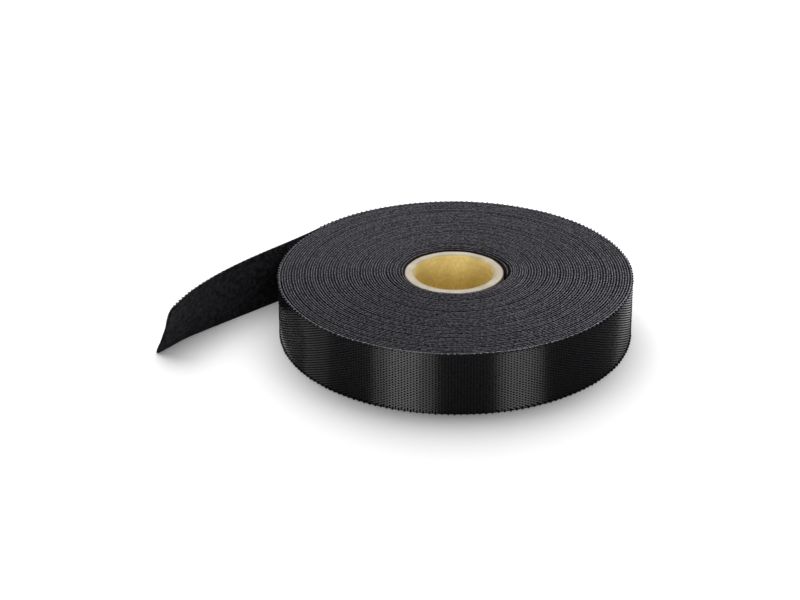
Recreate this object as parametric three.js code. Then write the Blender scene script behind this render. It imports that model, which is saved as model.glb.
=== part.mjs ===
// A roll of back-to-back hook and loop tape: two bonded webs wound flat on a paperboard core,
// with the outer end of the tape standing off the roll as a free tail.
// Millimetres, +Z up along the core's axis. The roll lies on its edge faces at z = 0,
// and the origin is the middle of the footprint there.

import * as THREE from 'three';

const DEGREE = Math.PI / 180;

// Tape
const TAPE_WIDTH = 20;
const HOOK_THICKNESS = 0.6;
const LOOP_THICKNESS = 0.6;
const LOOP_EDGE_INSET = 0.1;

// Core tube, from the bore outwards, and how far its ends lie inside the tape's edges
const BORE_DIAMETER = 25.8;
const INNER_LINER_THICKNESS = 0.4;
const BOARD_THICKNESS = 2.1;
const OUTER_LINER_THICKNESS = 0.4;
const CORE_RECESS = 0.8;

// Adhesive tab between the core and the inner end of the tape
const TAB_THICKNESS = 0.4;
const TAB_WIDTH = 12;
const TAB_STEPS = 2;

// Winding: each loop stands for two turns of the finer real winding. Over most of a loop it climbs as
// slowly as a real turn, and then it steps up over the loop beneath. The outermost loop, whose face
// shows, has finer facets.
const STEPS_PER_LOOP = 24;
const WINDING_STEPS = 538;
const OUTER_FACETS_PER_STEP = 2;
const CORE_FACETS_PER_STEP = 2;
const TURN_GAP = 0.588;
const REAL_TURN_PITCH = 0.84;
const STEP_UP_SHARE = 0.2;
const LEAVE_ANGLE = 142 * DEGREE;

// Free tail: it bends away from the roll, curls back near its tip and leans towards the loop side
const TAIL_LENGTH = 72;
const PEEL_BEND = 9 * DEGREE;
const PEEL_LENGTH = 30;
const TIP_CURL = 4.2 * DEGREE;
const TIP_CURL_LENGTH = 33;
const TIP_LEAN = 27.5 * DEGREE;
const LEAN_POWER = 2.8;
const PEEL_GAP = 0.4;
const FLEX_AT = 26;
const FLEX_GAP = 0.8;
const NEAR_STEPS = 8;
const TIP_STEPS = 12;

// Derived radii and rates
const boreRadius = BORE_DIAMETER / 2;
const boardInnerRadius = boreRadius + INNER_LINER_THICKNESS;
const boardOuterRadius = boardInnerRadius + BOARD_THICKNESS;
const coreRadius = boardOuterRadius + OUTER_LINER_THICKNESS;
const tapeThickness = HOOK_THICKNESS + LOOP_THICKNESS;
const pitch = tapeThickness + TURN_GAP;
const startRadius = coreRadius + TAB_THICKNESS;
const stepAngle = 2 * Math.PI / STEPS_PER_LOOP;
const startAngle = LEAVE_ANGLE - WINDING_STEPS * stepAngle;

const MATERIALS = {
  board: new THREE.MeshStandardMaterial({ color: 0xd6ccb6, roughness: 0.9, metalness: 0 }),
  kraft: new THREE.MeshStandardMaterial({ color: 0xd0b06c, roughness: 0.8, metalness: 0 }),
  brownPly: new THREE.MeshStandardMaterial({ color: 0x6b5a48, roughness: 0.85, metalness: 0 }),
  adhesive: new THREE.MeshStandardMaterial({ color: 0xd8d2bc, roughness: 0.5, metalness: 0 }),
  hook: new THREE.MeshStandardMaterial({ color: 0x17171a, roughness: 0.3, metalness: 0 }),
  loop: new THREE.MeshStandardMaterial({ color: 0x0c0b10, roughness: 0.95, metalness: 0 }),
};

// Point at a radius and an angle, at a height
function polar(radius, angle, z = 0) {
  return new THREE.Vector3(radius * Math.cos(angle), radius * Math.sin(angle), z);
}

// How far the tape has fallen towards the core, in pitches, at a number of loops before it leaves
// the roll: slowly at first in each loop, and then by a smooth step
function fallBefore(loops) {
  const whole = Math.floor(loops);
  const part = loops - whole;
  const stepDown = THREE.MathUtils.smoothstep(part, 1 - STEP_UP_SHARE, 1);
  const slow = part * REAL_TURN_PITCH / pitch;
  return whole + slow + (1 - REAL_TURN_PITCH / pitch) * stepDown;
}

// Radius of the tape's inner face after a number of winding steps
function innerRadius(step) {
  const loops = WINDING_STEPS / STEPS_PER_LOOP;
  return startRadius + pitch * (fallBefore(loops) - fallBefore(loops - step / STEPS_PER_LOOP));
}

// Closed body through a row of four-cornered sections. Each section lists its corners in the
// order inner low, outer low, outer high and inner high.
function sweptStrip(sections) {
  const corners = 4;
  const positions = sections.flat().flatMap((point) => point.toArray());
  const indices = [];
  for (let i = 0; i + 1 < sections.length; i += 1) {
    for (let c = 0; c < corners; c += 1) {
      const next = (c + 1) % corners;
      const a = corners * i + c;
      const b = corners * i + next;
      // Facing sides of bonded strips are split along the same diagonal
      if (c < corners / 2) {
        indices.push(a, a + corners, b + corners, a, b + corners, b);
      } else {
        indices.push(a, a + corners, b, b, a + corners, b + corners);
      }
    }
  }
  const last = corners * (sections.length - 1);
  indices.push(0, 1, 2, 0, 2, 3);
  indices.push(last, last + 2, last + 1, last, last + 3, last + 2);
  const geometry = new THREE.BufferGeometry();
  geometry.setAttribute('position', new THREE.Float32BufferAttribute(positions, 3));
  geometry.setIndex(indices);
  geometry.computeVertexNormals();
  return geometry;
}

// Straight tube with flat ends between two radii
function tube(inner, outer, low, high) {
  const profile = [
    new THREE.Vector2(inner, low),
    new THREE.Vector2(outer, low),
    new THREE.Vector2(outer, high),
    new THREE.Vector2(inner, high),
    new THREE.Vector2(inner, low),
  ];
  const geometry = new THREE.LatheGeometry(profile, STEPS_PER_LOOP * CORE_FACETS_PER_STEP);
  // The lathe turns about Y, so Y becomes Z, and the first facet edge lies at the start angle
  geometry.rotateX(Math.PI / 2);
  geometry.rotateZ(startAngle);
  return geometry;
}

// Section of a layer of the winding, between two offsets from the tape's inner face. Its edges
// lie an inset inside the tape's edges.
function woundSection(step, from, to, inset) {
  const angle = startAngle + step * stepAngle;
  const inner = innerRadius(step) + from;
  const outer = innerRadius(step) + to;
  const low = inset;
  const high = TAPE_WIDTH - inset;
  return [
    polar(inner, angle, low),
    polar(outer, angle, low),
    polar(outer, angle, high),
    polar(inner, angle, high),
  ];
}

// Steps at which the winding has a section, from its inner end to where the tail leaves it
function sectionSteps() {
  const steps = [];
  const outermost = WINDING_STEPS - STEPS_PER_LOOP;
  for (let step = 0; step < outermost; step += 1) {
    steps.push(step);
  }
  for (let facet = 0; facet <= STEPS_PER_LOOP * OUTER_FACETS_PER_STEP; facet += 1) {
    steps.push(outermost + facet / OUTER_FACETS_PER_STEP);
  }
  return steps;
}

function woundLayer(from, to, inset) {
  return sweptStrip(sectionSteps().map((step) => woundSection(step, from, to, inset)));
}

// Heading of the tail in plan at a distance along it
function tailHeading(along) {
  const peel = THREE.MathUtils.clamp(along / PEEL_LENGTH, 0, 1);
  const curlStart = TAIL_LENGTH - TIP_CURL_LENGTH;
  const curl = THREE.MathUtils.clamp((along - curlStart) / TIP_CURL_LENGTH, 0, 1);
  return LEAVE_ANGLE + Math.PI / 2 - PEEL_BEND * peel * (2 - peel) + TIP_CURL * curl;
}

// Lower edge of the bonded face between the webs at a distance along the tail, reached by
// marching along the heading, which each march takes at its middle
function tailPoint(along) {
  const marches = 144;
  const length = along / marches;
  const point = polar(innerRadius(WINDING_STEPS) + LOOP_THICKNESS, LEAVE_ANGLE);
  for (let i = 0; i < marches; i += 1) {
    point.add(polar(length, tailHeading((i + 0.5) * length)));
  }
  return point;
}

// Section of a layer of the tail between two offsets from the bonded face, positive towards the
// loop side. The section tips over its lowest corner, which stays on z = 0.
function tailSection(along, outer, inner) {
  const heading = tailHeading(along);
  const lean = TIP_LEAN * Math.pow(along / TAIL_LENGTH, LEAN_POWER);
  const inward = polar(1, heading + Math.PI / 2);
  const rise = inward.clone().multiplyScalar(Math.sin(lean));
  rise.z = Math.cos(lean);
  const across = inward.clone().multiplyScalar(Math.cos(lean));
  across.z = -Math.sin(lean);
  const base = tailPoint(along);
  base.z = LOOP_THICKNESS * Math.sin(lean);
  const corner = (offset, height) =>
    base.clone().addScaledVector(across, offset).addScaledVector(rise, height);
  return [corner(inner, 0), corner(outer, 0), corner(outer, TAPE_WIDTH), corner(inner, TAPE_WIDTH)];
}

function tailLayer(start, end, steps, outer, inner) {
  const sections = [];
  for (let i = 0; i <= steps; i += 1) {
    sections.push(tailSection(start + (end - start) * i / steps, outer, inner));
  }
  return sweptStrip(sections);
}

// Block that fills the space between the core and the first steps of the winding
function startTab() {
  const outline = [];
  for (let facet = 0; facet <= TAB_STEPS * CORE_FACETS_PER_STEP; facet += 1) {
    outline.push(polar(coreRadius, startAngle + facet * stepAngle / CORE_FACETS_PER_STEP));
  }
  for (let step = TAB_STEPS; step >= 0; step -= 1) {
    outline.push(polar(innerRadius(step), startAngle + step * stepAngle));
  }
  const shape = new THREE.Shape(outline.map((point) => new THREE.Vector2(point.x, point.y)));
  const geometry = new THREE.ExtrudeGeometry(shape, { depth: TAB_WIDTH, bevelEnabled: false });
  geometry.translate(0, 0, (TAPE_WIDTH - TAB_WIDTH) / 2);
  return geometry;
}

// Least distance between points on the outer face of the tape and on the inner face of every
// later turn, taken at the section edges and half-way between them
function leastTurnGap() {
  const outer = [];
  const inner = [];
  const steps = sectionSteps();
  for (let i = 0; i + 1 < steps.length; i += 1) {
    for (const [list, offset] of [[outer, tapeThickness], [inner, 0]]) {
      const here = polar(innerRadius(steps[i]) + offset, startAngle + steps[i] * stepAngle);
      const there = polar(innerRadius(steps[i + 1]) + offset, startAngle + steps[i + 1] * stepAngle);
      list.push(here, here.clone().lerp(there, 0.5));
    }
  }
  // Half a loop ahead is already another turn
  const pointsPerSection = outer.length / (steps.length - 1);
  const halfLoop = pointsPerSection * STEPS_PER_LOOP / 2;
  let least = Infinity;
  for (let i = 0; i < outer.length; i += 1) {
    for (let j = i + halfLoop; j < inner.length; j += 1) {
      least = Math.min(least, outer[i].distanceTo(inner[j]));
    }
  }
  return least;
}

// Least distance between points on the tail's loop face and on the turn beneath it
function leastTailGap() {
  const samples = NEAR_STEPS + TIP_STEPS;
  const outermost = sectionSteps().slice(-STEPS_PER_LOOP * OUTER_FACETS_PER_STEP - 1);
  const beneath = outermost.slice(0, STEPS_PER_LOOP);
  let least = Infinity;
  for (let i = 0; i <= samples; i += 1) {
    const along = PEEL_GAP + (TAIL_LENGTH - PEEL_GAP) * i / samples;
    const [point] = tailSection(along, 0, LOOP_THICKNESS);
    for (const step of beneath) {
      const turn = polar(innerRadius(step) + tapeThickness, startAngle + step * stepAngle);
      least = Math.min(least, turn.distanceTo(point));
    }
  }
  return least;
}

const roll = new THREE.Group();
const assembly = new THREE.Group();
assembly.add(roll);

function addPiece(name, geometry, material) {
  const mesh = new THREE.Mesh(geometry, material);
  mesh.name = name;
  roll.add(mesh);
}

// Core
const coreLow = CORE_RECESS;
const coreHigh = TAPE_WIDTH - CORE_RECESS;
addPiece('core_inner_liner', tube(boreRadius, boardInnerRadius, coreLow, coreHigh), MATERIALS.kraft);
addPiece('core_board', tube(boardInnerRadius, boardOuterRadius, coreLow, coreHigh), MATERIALS.board);
addPiece('core_outer_liner', tube(boardOuterRadius, coreRadius, coreLow, coreHigh), MATERIALS.brownPly);
addPiece('start_tab', startTab(), MATERIALS.adhesive);

// Winding: the hook strip's cut edges stand a little proud of the softer loop fabric
addPiece('loop_web', woundLayer(0, LOOP_THICKNESS, LOOP_EDGE_INSET), MATERIALS.loop);
addPiece('hook_web', woundLayer(LOOP_THICKNESS, tapeThickness, 0), MATERIALS.hook);

// Tail, in two stretches that hinge on the roll and on each other
const nearEnd = FLEX_AT - FLEX_GAP / 2;
const tipStart = FLEX_AT + FLEX_GAP / 2;
const TAIL_STRETCHES = [
  { name: 'tail', start: PEEL_GAP, end: nearEnd, steps: NEAR_STEPS },
  { name: 'tail_tip', start: tipStart, end: TAIL_LENGTH, steps: TIP_STEPS },
];
for (const { name, start, end, steps } of TAIL_STRETCHES) {
  addPiece(`${name}_loop_web`, tailLayer(start, end, steps, 0, LOOP_THICKNESS), MATERIALS.loop);
  addPiece(`${name}_hook_web`, tailLayer(start, end, steps, -HOOK_THICKNESS, 0), MATERIALS.hook);
}

// The footprint's middle goes to the origin
const footprint = new THREE.Box3().setFromObject(assembly).getCenter(new THREE.Vector3());
roll.position.set(-footprint.x, -footprint.y, 0);

console.log(`least gap between turns ${leastTurnGap().toFixed(3)} mm`);
console.log(`least gap under the tail ${leastTailGap().toFixed(3)} mm`);

export default assembly;
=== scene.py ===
import math
from collections import namedtuple

import bpy
import numpy as np
from mathutils import Matrix, Vector


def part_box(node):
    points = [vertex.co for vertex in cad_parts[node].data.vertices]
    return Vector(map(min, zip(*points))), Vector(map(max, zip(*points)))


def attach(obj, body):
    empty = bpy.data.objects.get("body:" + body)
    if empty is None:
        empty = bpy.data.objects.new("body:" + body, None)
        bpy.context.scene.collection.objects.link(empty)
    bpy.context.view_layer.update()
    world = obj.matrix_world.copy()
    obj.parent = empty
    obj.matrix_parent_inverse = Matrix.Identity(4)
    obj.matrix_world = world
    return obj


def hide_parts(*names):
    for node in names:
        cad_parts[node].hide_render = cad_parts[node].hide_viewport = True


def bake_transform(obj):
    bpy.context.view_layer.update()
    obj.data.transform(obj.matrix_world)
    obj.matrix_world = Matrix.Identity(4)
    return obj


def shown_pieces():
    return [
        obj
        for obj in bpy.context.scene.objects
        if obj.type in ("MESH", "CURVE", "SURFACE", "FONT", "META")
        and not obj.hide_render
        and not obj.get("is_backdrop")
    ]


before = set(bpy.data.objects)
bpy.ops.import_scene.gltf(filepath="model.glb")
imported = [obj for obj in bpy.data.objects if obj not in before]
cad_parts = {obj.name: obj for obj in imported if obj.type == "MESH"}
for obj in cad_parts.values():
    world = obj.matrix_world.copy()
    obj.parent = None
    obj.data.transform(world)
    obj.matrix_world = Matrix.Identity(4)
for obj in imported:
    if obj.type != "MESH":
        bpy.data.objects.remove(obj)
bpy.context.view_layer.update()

bl_info = {
    "name": "Hook and loop tape roll",
    "version": (1, 0, 0),
    "blender": (4, 5, 0),
    "location": "3D Viewport > Sidebar > Tape Roll",
    "description": "Builds the looks of a roll of back-to-back hook and loop tape around its frame",
    "category": "Object",
}

CORE_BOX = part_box("core_board")
AXIS = np.array([CORE_BOX[0].x + CORE_BOX[1].x, CORE_BOX[0].y + CORE_BOX[1].y]) / 2
MM = 0.001
TURN = 2 * math.pi

# Turns of the ribbed outermost part of the winding, and hooks in a column across the tape
OUTER_TURNS = 1.02
HOOK_ROWS = 24

# Bevel of the webs' edges, how far the loop web's edges lie inside the hook web's, half the bond
# between the webs, the radius of a fibre's foot, and how deep it is sunk into the loop web
BEVEL = 0.04 * MM
INSET = 0.1 * MM
BOND = 0.004 * MM
FIBRE_RADIUS = 0.045 * MM
FIBRE_SUNK = 0.02 * MM

# Stations along the tape: plan point of the line between the webs, direction towards the loop
# side in plan, and how far the tape leans that way
Path = namedtuple("Path", "point inward lean")

# Closed shape that is stamped many times: points along the tape, outwards and up, and its faces
Shape = namedtuple("Shape", "points faces")


def length(name, default, description):
    """Length property in metres, from a default in millimetres."""
    return bpy.props.FloatProperty(
        name=name,
        description=description,
        default=default * MM,
        unit="LENGTH",
        subtype="DISTANCE",
        precision=5,
    )


def angle(name, default, description):
    """Angle property in radians, from a default in degrees."""
    return bpy.props.FloatProperty(
        name=name,
        description=description,
        default=math.radians(default),
        unit="ROTATION",
        subtype="ANGLE",
    )


def number(name, default, description):
    """Plain number property."""
    return bpy.props.FloatProperty(
        name=name,
        description=description,
        default=default,
        subtype="FACTOR",
        soft_min=0.0,
        soft_max=100.0,
    )


def colour(name, default, description):
    """Linear colour property."""
    return bpy.props.FloatVectorProperty(
        name=name,
        description=description,
        default=default,
        size=3,
        min=0.0,
        max=1.0,
        subtype="COLOR",
    )


class TapeSizes(bpy.types.PropertyGroup):
    """Sizes of the tape and of its winding."""

    width: length("Width", 20.0, "Width of the tape, which is the roll's height")
    turns: number("Turns", 47.4167, "Turns from the tape's inner end to where it leaves the roll")
    inner_radius: length("Inner radius", 16.55, "Radius of the line between the webs at the inner end")
    outer_radius: length("Outer radius", 56.36, "Radius of the line between the webs at the leaving point")
    leave_angle: angle("Leaving angle", 142.0, "Angle round the core at which the tape leaves the roll")
    flare: angle("Flare", 1.15, "How far the outermost turns lean in towards their upper edge")
    film: length("Film thickness", 0.2, "Thickness of the hook web without its hooks")
    fabric: length("Fabric thickness", 0.22, "Thickness of the loop web without its pile")
    pile: length("Pile height", 0.35, "Height of the loop web's pile")
    hook: length("Hook height", 0.38, "Height of a hook above the film")
    column: length("Column spacing", 0.92, "Distance along the tape between columns of hooks")
    row: length("Row spacing", 0.82, "Distance across the tape between hooks of a column")
    rib: length("Rib height", 0.1546, "Height of the ribs that the hook rows stand on")


class TailSizes(bpy.types.PropertyGroup):
    """Sizes of the free end of the tape."""

    length: length("Length", 70.2, "Length of the free end's upper edge")
    peel_bend: angle("Peel bend", 9.7, "How far the tail turns away from the roll")
    peel_length: length("Peel length", 30.0, "Distance over which it turns away")
    curl: angle("Curl", 4.0, "How far the tip curls back")
    curl_length: length("Curl length", 25.2, "Distance over which the tip curls back")
    lean: angle("Lean", 27.8, "How far the tip leans towards the loop side")
    lean_power: number("Lean power", 2.41, "How late along the tail the lean comes")
    cut_out: length("Cut", 1.35, "How far the uneven end reaches out near its lower edge")
    nap: length("Nap", 0.56, "Thickness of the loop web where nothing presses it")
    nap_zone: length("Nap zone", 12.0, "Distance over which the nap stands up beyond the roll")
    corner: length("Corner", 1.3, "How far the end's upper corner is worn back")
    hollow: length("Hollow", 0.4, "How far the end is drawn in at the middle of its width")
    foot: length("Foot", 1.35, "How far the end's lower edge bends towards the loop side")
    cut_zone: length("Cut zone", 12.0, "Length of the tape that follows the uneven end")
    lift: length("Lift", 0.6, "Thickness that the leaning tail tips over")
    split: length("Split", 15.0, "Distance along the tail where its near pieces end")
    peel_zone: length("Peel zone", 4.0, "Distance over which the tail bends when it is peeled")
    flex_start: length("Flex start", 23.0, "Where the bend between the tail's halves begins")
    flex_end: length("Flex end", 29.0, "Where the bend between the tail's halves ends")


class CoreSizes(bpy.types.PropertyGroup):
    """Sizes of the paperboard core."""

    bore: length("Bore radius", 12.9, "Radius of the open bore")
    board_inner: length("Board inner radius", 13.3, "Radius between the kraft liner and the board")
    board_outer: length("Board outer radius", 15.68, "Radius between the board and the brown ply")
    outer: length("Outer radius", 15.88, "Radius of the finished core")
    recess: length("Recess", 1.0, "How far the core's ends lie inside the tape's edges")
    tab_width: length("Tab width", 12.0, "Width of the adhesive tab under the tape's inner end")
    tab_angle: angle("Tab angle", 30.0, "Angle that the adhesive tab covers")


class PartColours(bpy.types.PropertyGroup):
    """Colours of the tape and of the core."""

    film: colour("Film", (0.0036, 0.0036, 0.0042), "Black moulded plastic of the hook web")
    edge_light: colour("Edge light", (0.192, 0.1845, 0.218), "Whitened cut edge of the webs")
    edge_dark: colour("Edge dark", (0.0344, 0.0331, 0.0391), "Unbroken black of the cut edge")
    pile: colour("Pile", (0.0062, 0.0057, 0.0074), "Napped loop fabric")
    fibre: colour("Fibre", (0.0132, 0.0127, 0.0148), "Loose fibres along the cut edges")
    board: colour("Board", (0.498, 0.458, 0.371), "Cut face of the paperboard")
    board_shade: colour("Board shade", (0.37, 0.32, 0.235), "Darker plies in the cut face")
    kraft: colour("Kraft", (0.8, 0.62, 0.22), "Kraft liner of the bore")
    kraft_shade: colour("Kraft shade", (0.6, 0.45, 0.15), "Cloudy parts of the kraft")
    fleck: colour("Fleck", (0.43, 0.3, 0.1), "Brown flecks in the kraft")
    ply: colour("Brown ply", (0.15, 0.104, 0.066), "Outer ply of the core")
    ply_shade: colour("Brown ply shade", (0.075, 0.052, 0.034), "Darker fibres of the outer ply")
    adhesive: colour("Adhesive", (0.687, 0.645, 0.504), "Adhesive tab")


class StageSettings(bpy.types.PropertyGroup):
    """Camera, floor and lamps."""

    camera: bpy.props.FloatVectorProperty(
        name="Camera",
        description="Place of the camera from the foot of the core's axis",
        default=(-0.017819, -0.408134, 0.213291),
        size=3,
        unit="LENGTH",
        subtype="TRANSLATION",
        precision=5,
    )
    lens: bpy.props.FloatProperty(
        name="Lens",
        description="Focal length in millimetres",
        default=63.583,
        unit="CAMERA",
    )
    pitch: angle("Pitch", 26.563, "How far the camera looks down")
    yaw: angle("Yaw", 0.057, "How far the camera looks to the right")
    roll: angle("Roll", -0.824, "How far the camera is turned about its line of sight")
    floor: colour("Floor", (0.92, 0.92, 0.92), "Pale floor")
    floor_glow: number("Floor glow", 0.14, "Light that the floor adds in the camera's own view")
    floor_shine: number("Floor shine", 1.0, "Light that the floor away from the roll adds in reflections")
    sky: number("Sky", 0.16, "Brightness of the surroundings")
    key: number("Key", 2.75, "Brightness of the softbox above and behind, on the core and the floor")
    tape_key: number("Tape key", 0.9, "Brightness of the same softbox on the tape")
    left_side: number("Left side", 0.9, "Brightness of the softbox above and at the left, on the tape")
    right_side: number("Right side", 4.2, "Brightness of the softbox above and at the right, on the tape")
    left_strip: number("Left strip", 1.85, "Brightness of the front left softbox, on the outermost turn")
    left_centre: number("Left centre", 1.95, "Brightness that its middle adds")
    right_strip: number("Right strip", 2.05, "Brightness of the front right softbox, on the outermost turn")
    right_centre: number("Right centre", 1.15, "Brightness that its middle adds")
    right_edge: number("Right edge", 1.6, "Brightness of the low back right card, on the outermost turn")
    left_fill: number("Left fill", 0.7, "Brightness of the low lamp at the left, on the tape")
    front_fill: number("Front fill", 6.0, "Brightness of the low lamp in front, on the core")


def signed_volume(points, groups):
    """Volume inside closed faces by the divergence theorem: a sixth of the sum, over the triangles
    fanned from each face's first corner, of the corners' triple product. It is negative if the
    faces look inwards."""
    total = 0.0
    for faces, _ in groups:
        first = points[faces[:, 0]]
        for corner in range(1, faces.shape[1] - 1):
            cross = np.cross(points[faces[:, corner]], points[faces[:, corner + 1]])
            total += np.einsum("ij,ij->", first, cross) / 6
    return total


def add_piece(name, points, groups, materials, smooth=True, ring=None):
    """New mesh object from points and from groups of faces. A group is an array of faces with the
    same number of corners and the index of its material, one index or one for each face. Faces
    that look inwards are turned. Ring is the number of points in a swept section: edges that run
    along the sweep are then sharp."""
    centred = points - points.mean(axis=0)
    if signed_volume(centred, groups) < 0:
        groups = [(faces[:, ::-1], slot) for faces, slot in groups]
    corners = np.concatenate([np.full(len(faces), faces.shape[1]) for faces, _ in groups])
    slots = np.concatenate([np.broadcast_to(slot, len(faces)) for faces, slot in groups])
    loops = np.concatenate([faces.ravel() for faces, _ in groups])
    mesh = bpy.data.meshes.new(name)
    mesh.vertices.add(len(points))
    mesh.vertices.foreach_set("co", points.astype(np.float32).ravel())
    mesh.loops.add(len(loops))
    mesh.loops.foreach_set("vertex_index", loops.astype(np.int32))
    mesh.polygons.add(len(corners))
    starts = np.concatenate([[0], np.cumsum(corners)[:-1]])
    mesh.polygons.foreach_set("loop_start", starts.astype(np.int32))
    mesh.polygons.foreach_set("material_index", slots.astype(np.int32))
    mesh.polygons.foreach_set("use_smooth", np.full(len(corners), smooth))
    for material in materials:
        mesh.materials.append(material)
    mesh.update(calc_edges=True)
    if ring:
        ends = np.empty(len(mesh.edges) * 2, np.int32)
        mesh.edges.foreach_get("vertices", ends)
        ends = ends.reshape(-1, 2) % ring
        sharp = mesh.attributes.new("sharp_edge", "BOOLEAN", "EDGE")
        sharp.data.foreach_set("value", ends[:, 0] == ends[:, 1])
    if mesh.validate():
        raise RuntimeError(f"{name} has faces that Blender refuses")
    piece = bpy.data.objects.new(name, mesh)
    bpy.context.scene.collection.objects.link(piece)
    return piece


def sweep_faces(stations, corners):
    """Quads round a closed section of so many corners that runs through so many stations, and the
    two end faces."""
    index = np.arange(stations * corners).reshape(stations, corners)
    here = index[:-1]
    there = index[1:]
    quads = np.stack([here, np.roll(here, -1, 1), np.roll(there, -1, 1), there], axis=-1)
    return quads, index[:1, ::-1], index[-1:]


def unit(x):
    """Numbers held between nought and one."""
    return np.clip(x, 0.0, 1.0)


def smoothstep(x):
    """Numbers held between nought and one: three times the square less twice the cube."""
    share = unit(x)
    return share**2 * (3 - 2 * share)


def bell(x, centre, width):
    """Bell curve: e to the minus square of the distance from the centre in widths."""
    return np.exp(-(((x - centre) / width) ** 2))


def waves(x, terms):
    """Sum of sines of x: each term is an amplitude, a number of radians for each unit of x and a
    phase."""
    amplitude, rate, phase = np.array(terms).T
    return np.sin(np.multiply.outer(x, rate) + phase) @ amplitude


def wound_path(tape, swept):
    """Stations of the winding at an angle swept from the tape's inner end. The radius grows evenly
    from the inner to the outer one, except that the first turns stay on their circle for most of a
    turn and then step up over the tape's inner end by a smoothstep, less so from turn to turn. Slow
    sines, in turns, draw some turns together and part others, and fade out over the last two turns so
    that the outermost turn and the tail meet. The flare, a lean, grows by a smoothstep over the last
    three turns and dies out over the last quarter of a turn. Next to the inner end the first turns
    stand off the core, by a bell curve of the angle that grows over one turn and fades over seven."""
    whole = np.floor(swept / TURN)
    part = swept / TURN - whole
    level = 0.74
    climb = smoothstep((part - level) / (1.0 - level))
    stepping = 6.0
    stepped = unit(1.0 - whole / stepping)
    turn = whole + stepped * climb + (1 - stepped) * part
    growth = (tape.outer_radius - tape.inner_radius) / tape.turns
    fade = unit((tape.turns - 1.0 - turn) / 2.0) * unit(turn / 2.0)
    loose = waves(turn, [(0.06, 1.19, 0.4), (0.034, 2.65, 1.9), (0.014, 18.3, 0.7), (0.01, 43.1, 2.2)])
    radius = tape.inner_radius + growth * turn + loose * fade * MM
    around = tape.leave_angle - tape.turns * TURN + swept
    aside = (around + math.pi) % TURN - math.pi
    gap = 0.9
    growing = gap / 2 + gap / 2 * turn
    fading = gap * (8.0 - turn) / 7.0
    standing = np.clip(np.minimum(growing, fading), 0.0, None)
    radius = radius + standing * bell(aside, 0.0, 0.5) * MM
    outward = np.stack([np.cos(around), np.sin(around)], axis=-1)
    left = tape.turns - swept / TURN
    lean = tape.flare * smoothstep(unit((4.0 - left) / 3.0) * unit(left / 0.25))
    return Path(AXIS + (radius + tape.width * np.sin(lean))[:, None] * outward, -outward, lean)


def tail_path(tape, tail, along):
    """Stations of the tail at distances along it. Its heading starts square to the radius at the
    leaving angle, falls by the peel bend times u times (2 - u), with u the share of the peel length,
    and rises by the curl over the curl length at the tip. The line is the sum of short steps along
    the heading. The lean is the tip's lean times the share of the length to the lean power."""
    fine = np.linspace(0.0, tail.length, 721)
    middle = (fine[1:] + fine[:-1]) / 2

    def heading(distance):
        peel = unit(distance / tail.peel_length)
        curl = unit((distance - tail.length + tail.curl_length) / tail.curl_length)
        return tape.leave_angle + math.pi / 2 - tail.peel_bend * peel * (2 - peel) + tail.curl * curl

    steps = np.diff(fine)[:, None] * np.stack([np.cos(heading(middle)), np.sin(heading(middle))], -1)
    root = AXIS + tape.outer_radius * np.array([math.cos(tape.leave_angle), math.sin(tape.leave_angle)])
    line = root + np.concatenate([np.zeros((1, 2)), np.cumsum(steps, axis=0)])
    point = np.stack([np.interp(along, fine, line[:, 0]), np.interp(along, fine, line[:, 1])], -1)
    side = heading(along) + math.pi / 2
    lean = tail.lean * unit(along / tail.length) ** tail.lean_power
    return Path(point, np.stack([np.cos(side), np.sin(side)], -1), lean)


def frame_of(path, lift):
    """Origin and the three directions of the tape at each station: along it, across it towards the
    loop side, and up its width. Leaning turns across and up about the direction along."""
    sine = np.sin(path.lean)
    cosine = np.cos(path.lean)
    flat = np.zeros(len(sine))
    origin = np.column_stack([path.point, lift * sine])
    along = np.column_stack([path.inward[:, 1], -path.inward[:, 0], flat])
    across = np.column_stack([path.inward * cosine[:, None], -sine])
    up = np.column_stack([path.inward * sine[:, None], cosine])
    return origin, along, across, up


def place(path, lift, offset, height, shift=None):
    """Points of a section, given by offsets towards the loop side and heights, at each station. Shift
    moves them along the tape. What would lie below the floor lies on it."""
    origin, along, across, up = frame_of(path, lift)
    points = origin[:, None] + offset[..., None] * across[:, None] + height[..., None] * up[:, None]
    if shift is not None:
        points = points + shift[..., None] * along[:, None]
    points[..., 2] = np.maximum(points[..., 2], 0.01 * MM)
    return points


def nap_at(tape, tail, along):
    """Thickness of the loop web along the tail: that of the fabric at the roll, and by a smoothstep over
    the nap zone that of the free nap."""
    return tape.fabric + (tail.nap - tape.fabric) * smoothstep(along / tail.nap_zone)


def end_cut(tape, tail, along, height):
    """How far the tail's uneven end moves a point along the tape and towards the loop side. Along it, a
    bell curve over the width, centred near the lower edge, reaches out, another one near the middle draws
    in, and a square wears the upper corner. Towards the loop side, a bell curve is centred on the lower
    edge. All are times a smoothstep over the cut zone."""
    share = height / tape.width
    near = smoothstep((along - tail.length + tail.cut_zone) / tail.cut_zone)
    out = tail.cut_out * bell(share, 0.07, 0.18)
    out = out - tail.hollow * bell(share, 0.5, 0.16)
    out = out - tail.corner * unit((share - 0.84) / 0.16) ** 2
    foot = tail.foot * bell(share, 0.0, 0.4)
    return out * near, foot * near


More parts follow.
